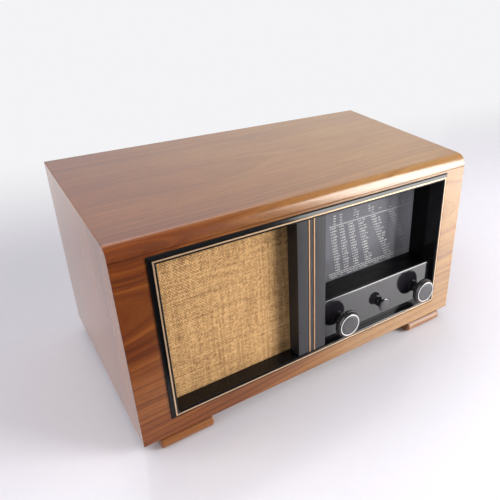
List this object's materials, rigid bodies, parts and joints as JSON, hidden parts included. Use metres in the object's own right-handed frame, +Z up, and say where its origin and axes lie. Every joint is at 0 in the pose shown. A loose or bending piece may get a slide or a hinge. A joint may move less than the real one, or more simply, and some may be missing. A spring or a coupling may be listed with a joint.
{
  "type": "tube radio",
  "caption": "Wooden table radio with a leaning front, a cloth speaker window, a deep-set dial and turning knobs that drive a cord, a pointer and a tuning capacitor.",
  "frame": {"origin": "on the floor, under the middle of the whole radio's width and depth", "axes": "+X to the right as seen from the front, +Y from front to back, +Z up"},
  "size_m": [0.48, 0.2758, 0.252],
  "materials": {
    "top_board": "walnut veneer under gloss lacquer",
    "left_side": "walnut veneer under gloss lacquer",
    "right_side": "walnut veneer under gloss lacquer",
    "bottom_board": "bare plywood",
    "front_panel": "walnut veneer under gloss lacquer",
    "glue_blocks": "bare softwood",
    "front_feet": "lacquered hardwood",
    "rear_feet": "stained wood",
    "back_cover": "hardboard",
    "fascia_frame": "black gloss",
    "frame_gilt": "gilt",
    "post": "black gloss",
    "post_gilt": "gilt",
    "speaker_cloth": "coarse woven cloth",
    "baffle_board": "bare plywood",
    "speaker_basket": "grey paint",
    "speaker_magnet": "plain steel",
    "speaker_cone": "pressed paper",
    "voice_coil": "enamelled wire",
    "dust_cap": "felt",
    "dial_recess": "black paint",
    "dial_ledge": "black paint",
    "dial_glass": "printed glass",
    "glass_clips": "zinc plate",
    "dial_backplate": "matt black paint",
    "dial_lamps": "clear",
    "lamp_holders": "plain",
    "pointer": "red paint",
    "pointer_carriage": "tin plate",
    "drive_cord": "braided",
    "left_pulley": "moulded",
    "right_pulley": "moulded",
    "drive_drum": "pressed",
    "drum_spring": "plain",
    "capacitor_frame": "cadmium plate",
    "capacitor_stator": "plain",
    "capacitor_rotor": "plain",
    "control_panel": "black gloss",
    "volume_knob": "black gloss",
    "volume_ring": "white",
    "volume_shaft": "turned",
    "volume_control": "plated can",
    "selector_knob": "black gloss",
    "selector_shaft": "turned",
    "band_switch": "resin-bonded paper",
    "tuning_knob": "black gloss",
    "tuning_ring": "white",
    "tuning_spindle": "turned",
    "tuning_bush": "turned",
    "chassis": "cadmium plate",
    "chassis_screws": "zinc plate",
    "mains_transformer": "varnished laminations",
    "output_transformer": "varnished laminations",
    "valve_sockets": "moulded",
    "small_valves": "clear with dark base",
    "power_valves": "clear with dark base",
    "if_cans": "plain",
    "filter_capacitor": "plain",
    "aerial_strip": "resin-bonded paper",
    "mains_inlet": "moulded"
  },
  "bodies": {
    "cabinet": {"top_board": "top_board", "left_side": "left_side", "right_side": "right_side", "bottom_board": "bottom_board", "front_panel": "front_panel", "glue_blocks": "glue_blocks", "front_feet": "front_feet", "rear_feet": "rear_feet", "back_cover": "back_cover", "fascia_frame": "fascia_frame", "frame_gilt": "frame_gilt", "post": "post", "post_gilt": "post_gilt", "speaker_cloth": "speaker_cloth", "baffle_board": "baffle_board", "speaker_basket": "speaker_basket", "speaker_magnet": "speaker_magnet", "dial_recess": "dial_recess", "dial_ledge": "dial_ledge", "dial_glass": "dial_glass", "glass_clips": "glass_clips", "dial_backplate": "dial_backplate", "dial_lamps": "dial_lamps", "lamp_holders": "lamp_holders", "drive_cord": "drive_cord", "capacitor_frame": "capacitor_frame", "capacitor_stator": "capacitor_stator", "control_panel": "control_panel", "volume_control": "volume_control", "band_switch": "band_switch", "tuning_bush": "tuning_bush", "chassis": "chassis", "chassis_screws": "chassis_screws", "mains_transformer": "mains_transformer", "output_transformer": "output_transformer", "valve_sockets": "valve_sockets", "small_valves": "small_valves", "power_valves": "power_valves", "if_cans": "if_cans", "filter_capacitor": "filter_capacitor", "aerial_strip": "aerial_strip", "mains_inlet": "mains_inlet"},
    "tuning_drum": {"drive_drum": "drive_drum", "drum_spring": "drum_spring", "capacitor_rotor": "capacitor_rotor"},
    "dial_pointer": {"pointer": "pointer", "pointer_carriage": "pointer_carriage"},
    "idler_left": {"left_pulley": "left_pulley"},
    "idler_right": {"right_pulley": "right_pulley"},
    "tuning_control": {"tuning_knob": "tuning_knob", "tuning_ring": "tuning_ring", "tuning_spindle": "tuning_spindle"},
    "volume": {"volume_knob": "volume_knob", "volume_ring": "volume_ring", "volume_shaft": "volume_shaft"},
    "selector": {"selector_knob": "selector_knob", "selector_shaft": "selector_shaft"},
    "cone": {"speaker_cone": "speaker_cone", "voice_coil": "voice_coil", "dust_cap": "dust_cap"}
  },
  "joints": [
    {"name": "drum_turn", "type": "hinge", "parent": "cabinet", "child": "tuning_drum", "pos_m": [0.1, -0.04799, 0.14669], "axis": [0, 0.9945, -0.1045], "range_deg": [0, 180]},
    {"name": "pointer_slide", "type": "slide", "parent": "cabinet", "child": "dial_pointer", "axis": [1, 0, 0], "range_m": [0, 0.1572]},
    {"name": "idler_left_turn", "type": "hinge", "parent": "cabinet", "child": "idler_left", "pos_m": [0.008, -0.04194, 0.20424], "axis": [0, 0.9945, -0.1045], "range_deg": [0, 1286]},
    {"name": "idler_right_turn", "type": "hinge", "parent": "cabinet", "child": "idler_right", "pos_m": [0.206, -0.04194, 0.20424], "axis": [0, 0.9945, -0.1045], "range_deg": [0, 1286]},
    {"name": "tuning_knob_turn", "type": "hinge", "parent": "cabinet", "child": "tuning_control", "pos_m": [0.17, -0.12008, 0.07299], "axis": [0, 0.9945, -0.1045], "range_deg": [0, 2813]},
    {"name": "volume_turn", "type": "hinge", "parent": "cabinet", "child": "volume", "pos_m": [0.0325, -0.12008, 0.07299], "axis": [0, 0.9945, -0.1045], "range_deg": [0, 300]},
    {"name": "selector_turn", "type": "hinge", "parent": "cabinet", "child": "selector", "pos_m": [0.10125, -0.12008, 0.07299], "axis": [0, 0.9945, -0.1045], "range_deg": [0, 90]},
    {"name": "cone_slide", "type": "slide", "parent": "cabinet", "child": "cone", "axis": [0, 0.9945, -0.1045], "range_m": [-0.0015, 0.0015], "stiffness_N_per_m": 1000}
  ],
  "couplings": [
    {"joint": "pointer_slide", "follows": "drum_turn", "m_per_rad": 0.05},
    {"joint": "idler_left_turn", "follows": "drum_turn", "ratio": 7.1429},
    {"joint": "idler_right_turn", "follows": "drum_turn", "ratio": 7.1429},
    {"joint": "tuning_knob_turn", "follows": "drum_turn", "ratio": 15.625}
  ]
}
